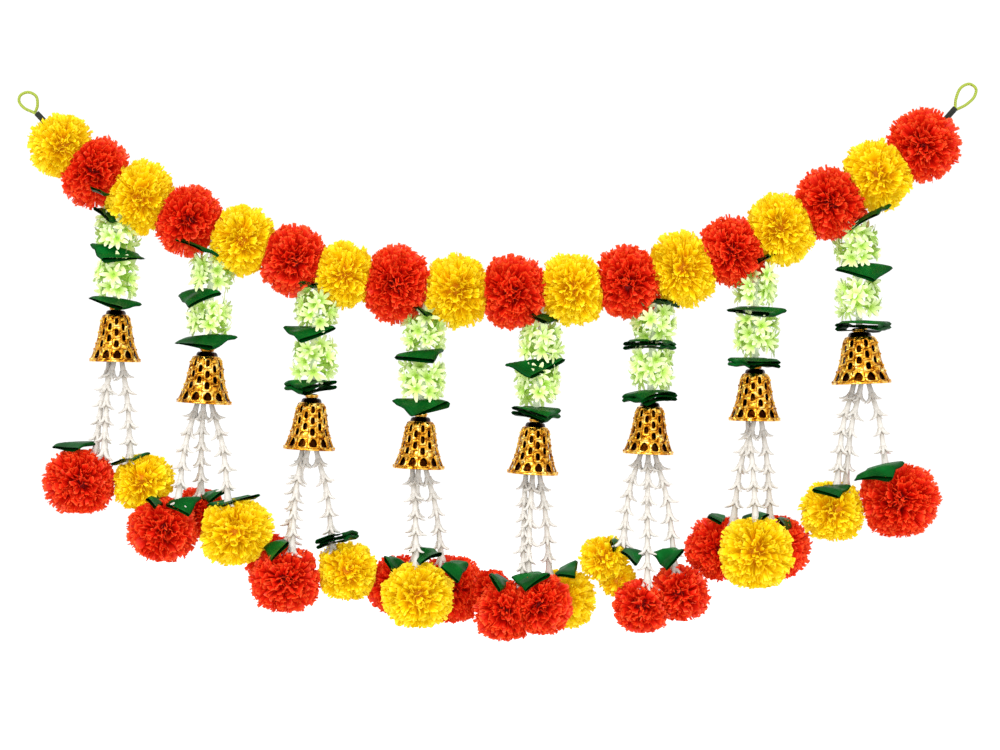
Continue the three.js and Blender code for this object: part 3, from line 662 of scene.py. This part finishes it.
def bottom_blooms():
    for node in dict.fromkeys(each["node"] for each in HUNG):
        skin = Skin()
        mine = [each for each in HUNG if each["node"] == node]
        for each in mine:
            walls = [(UP, each["radius"] * CROWN_SHARE), (-UP, each["radius"] * FOOT_SHARE)]
            for other in HUNG:
                away = np.linalg.norm(each["centre"] - other["centre"])
                if other is each or away > each["radius"] + other["radius"]:
                    continue
                share = (away + each["radius"] - other["radius"]) / (2 * away)
                walls.append(wall_between(each["centre"], other["centre"], share))
            seed = BOTTOM_SEED + int(each["centre"][0] + 500)
            bloom(skin, np.random.default_rng(seed), each["centre"], each["radius"], walls,
                  *PETAL_CUT[each["colour"]])
        colour = mine[0]["colour"]
        skin.piece(f"pompoms_{colour}_{mine[0]['number']}", CLOTH[colour], f"{colour}_petals", node,
                   smooth=False)


# Star flowers
def star_flower(skin, random, root, axis, length):
    """Pointed petals that open from a root and bend back."""
    helper = UP if abs(axis @ UP) < 0.9 else RIGHT
    first = unit(np.cross(axis, helper))
    second = np.cross(axis, first)
    start = random.uniform(0, 2 * np.pi)
    shade = random.uniform(0, 1)
    opened = random.uniform(0.3, 0.75)
    t = np.array([0.0, 0.3, 0.6, 0.84, 1.0])
    width = np.array([0.9, 1.7, 2.1, 1.9, 0.8])
    for k in range(STAR_PETALS):
        angle = start + k * 2 * np.pi / STAR_PETALS + random.normal(0, 0.12)
        out = math.cos(angle) * first + math.sin(angle) * second
        side = np.cross(axis, out)
        reach = length * random.uniform(0.88, 1.1)
        open_share = opened * random.uniform(0.85, 1.15)
        rise = reach * (0.75 * t - open_share * 0.55 * t ** 2)
        spread = reach * (0.32 * t + open_share * 0.72 * t ** 2)
        middle = root + rise[:, None] * axis + spread[:, None] * out
        keel = (0.22 * width)[:, None] * (axis - 0.3 * out)
        edges = [middle - width[:, None] * side + keel, middle, middle + width[:, None] * side + keel]
        skin.add(np.stack(edges, axis=1), grid_faces(len(t), len(edges)), np.repeat(t, len(edges)),
                 np.clip(shade + random.normal(0, 0.2), 0, 1))


def cluster(skin, random, middle):
    """Star flowers round the straw, facing every way."""
    for level, height in enumerate(STAR_LEVELS):
        start = random.uniform(0, 2 * np.pi)
        for k in range(STAR_FLOWERS):
            angle = start + (k + random.uniform(-0.25, 0.25)) * 2 * np.pi / STAR_FLOWERS
            tilt = height * 0.03 + random.uniform(-0.3, 0.3)
            axis = unit(np.array([math.cos(angle), math.sin(angle), tilt]))
            foot = np.array([0, 0, middle + height + random.uniform(-1.5, 1.5)])
            root = foot + axis * random.uniform(10.0, 15.0)
            skin.tube([foot + axis * 3, root + axis * 1.5], [0.8, 2.0], 6, depth=0.2)
            star_flower(skin, random, root, axis, STAR_PETAL)


def star_clusters():
    material = star_plastic()
    for hang in HANGS:
        random = np.random.default_rng(STAR_SEED + hang.index)
        skin = Skin()
        for drop in CLUSTER_DROPS[hang.index]:
            cluster(skin, random, -drop)
        skin.points = [hang.place(points) for points in skin.points]
        skin.piece(f"star_flowers_{hang.number}", material, "star_flowers", f"spray_{hang.number}")


# Straw, thread and bead
def straws():
    material = straw_plastic()
    for hang in HANGS:
        skin = Skin()
        low, high = hang.crown + 1.5, STRAW_TOP
        inner = STRAW_RADIUS - 0.5
        outline = [(low, inner), (low, STRAW_RADIUS), ((low + high) / 2, STRAW_RADIUS + 0.1),
                   (high, STRAW_RADIUS), (high, inner), ((low + high) / 2, inner), (low, inner)]
        revolved(skin, outline, 20)
        bead_top = hang.crown - BEAD_BELOW
        skin.tube([(0, 0, hang.crown + 3), (0, 0, bead_top - BEAD_RADIUS - 7)], THREAD_RADIUS, 8)
        turns = np.linspace(-1.45, 1.45, 9)
        bead = [(bead_top - BEAD_RADIUS / 2 + BEAD_RADIUS / 2 * math.sin(a), BEAD_RADIUS * math.cos(a))
                for a in turns]
        revolved(skin, bead, 16)
        skin.points = [hang.place(points) for points in skin.points]
        skin.piece(f"straw_{hang.number}", material, "straw", f"spray_{hang.number}")


# Ribbons
RIBBON_WIDTH = 30.0
DOUBLE_GAP = 2.6          # from this gap on, two loops lie one on the other
FLAT_DROOP = 15           # in degrees: a loop that droops less closes at its middle


def fold(skin, random, middle, half_width, half_depth, droop, gap, tilt, arch, front):
    """A ribbon folded into flat loops and turned, so that a corner of them droops to the front."""
    corner = -max(abs(front), 0.28)
    half = RIBBON_WIDTH / 2
    reach = half_width * (1 - corner) / 2
    skew = min((1 + corner) / (1 - corner) / half * reach, 0.9)
    half_length = reach / math.sqrt(1 - skew ** 2)
    turn = math.atan(skew / reach * half_length)
    side = 1 if front <= 0 else -1
    share = np.linspace(-1, 1, FOLD_LENGTHS)
    share = np.concatenate([share, share[-2:0:-1]])[None, :]
    layer = np.concatenate([np.ones(FOLD_LENGTHS), -np.ones(FOLD_LENGTHS - 2)])[None, :]
    layer = layer * (1 - np.abs(share) ** 24)
    across = np.linspace(-1, 1, FOLD_WIDTHS)[:, None]
    levels = (0.0,) if gap < DOUBLE_GAP else (-1.0, 1.0)
    pinch = 1 - 0.45 * (1 - share ** 2) if droop < FLAT_DROOP else 1.0
    thickness = min(max(gap, 1.7), 2.2)
    angle = math.radians(tilt)
    for level in levels:
        yaw = turn + random.uniform(-0.1, 0.1) + random.uniform(-0.12, 0.12) * layer
        x = half_length * share * np.cos(yaw) - half * across * np.sin(yaw)
        y = half_length * share * np.sin(yaw) + half * across * np.cos(yaw)
        y = y * (half_depth + 3) / np.abs(y).max()
        x = x * half_width / np.abs(x).max()
        tip = np.unravel_index(x.argmax(), x.shape)
        nearest = np.unravel_index(y.argmin(), y.shape)
        before = y - y[tip] / x[tip] * x
        front_side = np.minimum(before, 0)
        ridge = np.abs(x * y[nearest] - y * x[nearest]) / math.hypot(x[nearest], y[nearest])
        pleats = random.uniform(0.9, 1.8) * np.pi * across + random.uniform(0, 6.28) + 0.8 * share
        wave = np.arcsin(0.95 * np.sin(pleats)) * random.uniform(0.5, 1.1)
        z = thickness * layer * pinch + level * thickness + wave
        lift = random.uniform(-0.1, 0.25) * np.minimum(ridge, -front_side)
        z = z + math.tan(math.radians(droop)) * front_side + lift
        z = z + arch * (0.5 - (x / half_width) ** 2)
        points = np.stack([side * x * math.cos(angle) + z * math.sin(angle), y,
                           z * math.cos(angle) - side * x * math.sin(angle)], axis=2)
        # Painted shade: a low depth on the lower layer and at the folded ends
        depth = np.where(layer >= 0, 1.0, 0.2) * (1 - 0.7 * np.abs(share) ** 12) * np.ones_like(y)
        skin.add(points + middle, grid_faces(FOLD_WIDTHS, share.shape[1], closed=True), depth,
                 random.uniform(0, 1))


def folded_sheet(skin, name, material, node):
    ribbon = skin.piece(name, material, "green_ribbon", node)
    length = skin.area() / RIBBON_WIDTH


def ribbons():
    material = satin()
    for name, table, seed, node, carriers in (
            ("straw_ribbons", STRAW_FOLDS, STRAW_FOLD_SEED, "spray", ("straw",)),
            ("bloom_ribbons", STRING_FOLDS, STRING_FOLD_SEED, "jasmine", ("bunch_red", "bunch_yellow"))):
        for hang in HANGS:
            random = np.random.default_rng(seed + hang.index)
            skin = Skin()
            for x, z, y, *shape in table[hang.index]:
                fold(skin, random, np.array([x, y, z]), *shape)
            folded_sheet(skin, f"{name}_{hang.number}", material, f"{node}_{hang.number}")


# Bells
def bell_cell(skin, columns, angle, low, high, window, arch=0.0):
    """One cell of the bell's openwork wall, with a window or with a raised bead."""
    corners = np.linspace(0, 2 * np.pi, CELL_POINTS + 1)[:-1] + np.pi / 4
    square = np.stack([np.cos(corners), np.sin(corners)], axis=1)
    square = square / np.abs(square).max(axis=1, keepdims=True)
    rounded = np.stack([np.cos(corners), np.sin(corners)], axis=1)
    squareness = 3.5
    rounded = rounded / (np.abs(rounded) ** squareness).sum(axis=1, keepdims=True) ** (1 / squareness)
    half_turn = np.pi / columns
    knot = np.maximum(np.cos(2 * (corners - np.pi / 4)), 0) ** 2

    def ring(flat, size, lift, arch=0.0):
        narrow = 1 - arch * np.maximum(flat[:, 1], 0)
        turn = angle + flat[:, 0] * size[0] * narrow * half_turn
        height = (low + high) / 2 + flat[:, 1] * size[1] * (high - low) / 2
        radius = np.interp(height, *bell_outline()) + lift
        return np.stack([radius * np.cos(turn), radius * np.sin(turn), height], axis=1)

    def band(inner, outer, depth):
        skin.add(np.vstack([inner, outer]), grid_faces(2, CELL_POINTS, closed=True)[:, ::-1], depth)

    edge = ring(square, (1, 1), 0.9 * knot - 0.3)
    inside = ring(square, (1, 1), -BELL_WALL)
    # Depths paint shade: lower along the edges between the knots, into the window and on the inside
    if window:
        lip = ring(rounded, [(1.1 + share) / 2 for share in window], 0.6, arch)
        hole = ring(rounded, window, -0.25, arch)
        back = ring(rounded, window, -BELL_WALL, arch)
        rings = [(edge, 0.45 + 0.55 * knot), (lip, 1), (hole, 0.7), (back, 0.3), (inside, 0.1)]
    else:
        bead = ring(rounded, (0.6, 0.6), 0.5)
        top = ring(rounded, (0.2, 0.2), 1.15)
        tip = ring(rounded, (0.01, 0.01), 1.2)
        rings = [(edge, 0.45 + 0.55 * knot), (bead, 1), (top, 1), (tip, 1)]
        band(ring(rounded, (0.01, 0.01), -BELL_WALL), inside, 0.1)
    points = np.vstack([points for points, _ in rings])
    depths = np.concatenate([np.broadcast_to(depth, CELL_POINTS) for _, depth in rings])
    skin.add(points, grid_faces(len(rings), CELL_POINTS, closed=True), depths)
    bell_bead(skin, angle - half_turn, low)


def bell_bead(skin, turn, height):
    """A small round knob on the bell's wall."""
    angles = np.arange(8) * np.pi / 4
    radius = float(np.interp(height, *bell_outline()))
    rings = []
    for lift, size in ((0.2, 1.35), (1.0, 1.1), (1.5, 0.55)):
        around = turn + size * np.cos(angles) / radius
        rings.append(np.stack([(radius + lift) * np.cos(around), (radius + lift) * np.sin(around),
                               height + size * np.sin(angles)], axis=1))
    skin.add(np.vstack(rings), grid_faces(3, 8, closed=True), 1.0)
    skin.add(rings[-1], [np.arange(8)], 1.0)


def bell_skin():
    """The bell in its own frame, with its rim at height 0."""
    skin = Skin()
    for column in range(BELL_WINDOWS):
        angle = (column + 0.5) * 2 * np.pi / BELL_WINDOWS - np.pi / 2
        bell_cell(skin, BELL_WINDOWS, angle, BELL_RIM, BELL_FOOT, *BELL_ARCH)
    for column in range(BELL_COLUMNS):
        angle = (column + 0.5) * 2 * np.pi / BELL_COLUMNS - np.pi / 2
        shift = BELL_PITCH / 2 if column % 2 else 0.0
        for row in range(3 if shift == 0 else 2):
            low = BELL_FOOT + shift + row * BELL_PITCH
            bell_cell(skin, BELL_COLUMNS, angle, low, low + BELL_PITCH, BELL_WINDOW)
        if shift:
            bell_cell(skin, BELL_COLUMNS, angle, BELL_FOOT, BELL_FOOT + shift, None)
            bell_cell(skin, BELL_COLUMNS, angle, BELL_SHOULDER - shift, BELL_SHOULDER, None)
    rim = [(2.5, 26.35), (1.9, 26.9), (1.3, 27.6), (0.6, 27.7),
           (0, 27.1), (0, 25.9), (0.7, 25.2), (2.5, 24.8)]
    # A dark sheet inside the wall, at depth 0: painted shade seen through the windows
    painted_shade_sheet = [(height, np.interp(height, *bell_outline()) - BELL_WALL - SHADE_SHEET_GAP)
              for height in (3.0, 6.0, 9.0, 12.0)]
    painted_shade_sheet += [(14.0, 17.6), (23.5, 15.2), (35.0, 13.4), (42.0, 12.2), (43.5, 11.6), (43.5, 2.0)]
    shoulder = [(BELL_SHOULDER, 13.5), (46.9, 13.3), (47.3, 12.2), (47.5, 11.4)]
    dark_cap = [(47.5, 11.4), (47.9, 10.9), (50.4, 10.2), (51.6, 8.6), (52.0, 4.4)]
    neck = [(52.0, 5.4), (52.5, 7.4), (53.3, 6.4), (54.2, 7.6),
            (55.2, 6.9), (56, 5.2), (56, 2.0), (43.5, 2.0)]
    # The neck's groove and its inner top take low depths: painted shade
    for outline, sides, depth in ((rim, 56, 1.0), (painted_shade_sheet, 28, 0.0), (shoulder, 28, 1.0),
                                  (dark_cap, 28, 0.0), (neck, 28, [1, 1, 0.4, 1, 1, 0.8, 0.1, 0.1])):
        revolved(skin, outline, sides, depth)
    return skin


def bells():
    material = gold()
    for hang in HANGS:
        skin = bell_skin()
        spread = np.array([BELL_SCALES[hang.index], BELL_SCALES[hang.index], 1.0])
        skin.points = [hang.place(points * spread - hang.rim * UP) for points in skin.points]
        skin.piece(f"openwork_bell_{hang.number}", material, "gold_plastic", f"bell_{hang.number}")


# Jasmine strings
def jasmine_flower(skin, random, head, tail, along, size=1.0):
    """A moulded flower: a tube that widens to its mouth, and petals that sweep out of it like claws."""
    t = np.array([0.0, 0.2, 0.55, 0.85, 1.0])[:, None]
    radii = np.array([1.8, 2.4, 2.7, 3.1, 3.4]) * size
    # The tube's foot is darker: painted shade under the flower before
    skin.tube(head + (tail - head) * t, radii, 9, depth=[0.3, 0.6, 0.9, 1.0, 0.8])
    helper = RIGHT if abs(along @ RIGHT) < 0.8 else UP
    first = unit(np.cross(along, helper))
    second = np.cross(along, first)
    start = random.uniform(0, 2 * np.pi)
    s = np.linspace(0, 1, 6)[:, None]
    for k in range(JASMINE_PETALS):
        angle = start + (k + random.uniform(-0.2, 0.2)) * 2 * np.pi / JASMINE_PETALS
        out = math.cos(angle) * first + math.sin(angle) * second
        sweep = random.uniform(5.0, 8.5) * size
        dip = random.uniform(8.5, 12.0) * size
        path = (tail - 3.0 * along + out * (1.8 + 1.4 * s + sweep * s ** 2.4)
                + along * dip * (s - 0.25 * s ** 3))
        skin.tube(path, np.array([1.9, 1.9, 1.8, 1.6, 1.2, 0.5]) * size, 6, depth=[0.7, 0.85, 1, 1, 1, 1])


def jasmine_string(skin, random, start, rim, end, bare):
    """One string from the hub in the bell, past its rim, down to the bloom that it carries."""
    waist = rim + (end - rim) * 0.4
    waist[0] += (end[0] - rim[0]) * 0.22
    curve = spline([start, rim, waist, end], 20)
    length = curve_length(curve)
    skin.tube(curve[::4], THREAD_RADIUS, 6, depth=0.2)
    flowering = length - bare
    count = round(flowering / JASMINE_PITCH)
    pitch = flowering / count
    for k in range(count):
        head, tail, beyond = spaced(curve, bare + pitch * np.array([k - 0.08, k + 0.84, k + 0.95]))
        jasmine_flower(skin, random, head, tail, unit(beyond - head), 1.25 if k == count - 1 else 1.0)


def jasmine():
    material = jasmine_plastic()
    for hang in HANGS:
        random = np.random.default_rng(JASMINE_SEED + hang.index)
        skin = Skin()
        foot = hang.hub_top - HUB_HEIGHT
        knot = [(foot, 1.0), (foot + 1, HUB_RADIUS - 1), (foot + HUB_HEIGHT / 2, HUB_RADIUS),
                (hang.hub_top - 1, HUB_RADIUS - 1), (hang.hub_top, 1.0)]
        revolved(skin, knot, 14, 0.2)
        skin.points = [hang.place(points) for points in skin.points]
        for i, (carried, dx, dy) in enumerate(hang.facts["strings"]):
            start = hang.place(np.array([(i - 1) * 2.4, 0, foot + 2]))
            rim = hang.place(np.array([(i - 1) * 6.5, 3.0 * math.cos(2.4 * i), 2 - hang.rim]))
            end = hang.bloom_crown(carried) + (np.array([dx, dy, 0]) + STRING_END)
            bare = (foot + 2 + hang.rim) * 0.95
            jasmine_string(skin, random, start, rim, end, bare)
        skin.piece(f"jasmine_strings_{hang.number}", material, "jasmine", f"jasmine_{hang.number}")


# Main cord
def flat_points(points):
    return np.array([[x, 0.0, z] for x, z in points])


def eye_and_whipping(side, whip, eye, cord_material, thread_material):
    loop = Skin()
    path = spline(flat_points(eye), 10)
    loop.tube(path, CORD_RADIUS, 12)
    eye_piece = loop.piece(f"cord_eye_{side}", cord_material, "loop_cord", "main_cord")
    winding = Skin()
    low, high = flat_points(whip)
    share = np.linspace(0, 1, 41)
    radii = 2.75 + 0.28 * np.abs(np.sin(share * np.pi * 11))
    radii[0] = radii[-1] = 2.0
    winding.tube(low + (high - low) * share[:, None], radii, 16)
    whip_piece = winding.piece(f"whipping_{side}", thread_material, "whipping", "main_cord")
    return [eye_piece, whip_piece]


def main_cord():
    cord_material = twisted_cord("chartreuse_cord", (0.2, 0.27, 0.012), (0.38, 0.47, 0.04), 0.5)
    thread_material = twisted_cord("whipping_thread", (0.001, 0.003, 0.001), (0.003, 0.012, 0.004), 0.75)
    ends = eye_and_whipping("left", LEFT_WHIP, LEFT_EYE, cord_material, thread_material)
    ends += eye_and_whipping("right", RIGHT_WHIP, RIGHT_EYE, cord_material, thread_material)
    middle = [cord_point(x) for x in np.linspace(CENTRES[0][0], CENTRES[-1][0], 60)]
    low_left, high_left = flat_points(LEFT_WHIP)
    low_right, high_right = flat_points(RIGHT_WHIP)
    route = spline(np.vstack([high_left, low_left, middle, low_right, high_right]), 3)
    skin = Skin()
    skin.tube(route, CORD_RADIUS, 8)
    cord = skin.piece("strung_cord", cord_material, "loop_cord", "main_cord")


# Camera, lights and floor
PICTURE_WIDTH = 1.0       # of the view, at the garland
CAMERA_DISTANCE = 2.4
PICTURE_CENTRE = (0.0025, -0.013)
# Name, place, softness in degrees and strength
LIGHTS = [("key", (-0.5, -1.3, 1.5), 30, 1.7), ("fill", (0.9, -1.6, 0.4), 60, 0.5)]
FLOOR_HALF, FLOOR_LEVEL = 6.0, -0.62


def studio():
    camera = bpy.data.cameras.new("camera")
    camera.sensor_width = 36
    camera.lens = camera.sensor_width * CAMERA_DISTANCE / PICTURE_WIDTH
    camera.dof.use_dof = False
    stand = bpy.data.objects.new("camera", camera)
    stand.location = (PICTURE_CENTRE[0], -CAMERA_DISTANCE, PICTURE_CENTRE[1])
    stand.rotation_euler = (math.radians(90), 0, 0)
    scene = bpy.context.scene
    scene.collection.objects.link(stand)
    scene.camera = stand
    scene.view_settings.view_transform = "Standard"
    world = bpy.data.worlds.new("white_room")
    world.use_nodes = True
    world.node_tree.nodes["Background"].inputs["Color"].default_value = (1, 1, 1, 1)
    world.node_tree.nodes["Background"].inputs["Strength"].default_value = 1.1
    scene.world = world
    for name, place, softness, power in LIGHTS:
        light = bpy.data.lights.new(name, "SUN")
        light.angle = math.radians(softness)
        light.energy = power
        lamp = bpy.data.objects.new(name, light)
        lamp.location = place
        lamp.rotation_euler = Vector(place).to_track_quat("Z", "Y").to_euler()
        scene.collection.objects.link(lamp)


def floor():
    mesh = bpy.data.meshes.new("floor")
    corners = [(x * FLOOR_HALF, y * FLOOR_HALF, FLOOR_LEVEL) for x, y in ((-1, -1), (1, -1), (1, 1), (-1, 1))]
    mesh.from_pydata(corners, [], [(0, 1, 2, 3)])
    pale = Surface("pale_floor", roughness=0.9)
    pale.colour(pale.ramp(pale.noise(3, 2), [(0.3, 0.94), (0.7, 0.96)]))
    mesh.materials.append(pale.material)
    slab = bpy.data.objects.new("floor", mesh)
    bpy.context.scene.collection.objects.link(slab)


studio()
main_cord()
floor()
top_blooms()
bottom_blooms()
straws()
star_clusters()
ribbons()
bells()
jasmine()
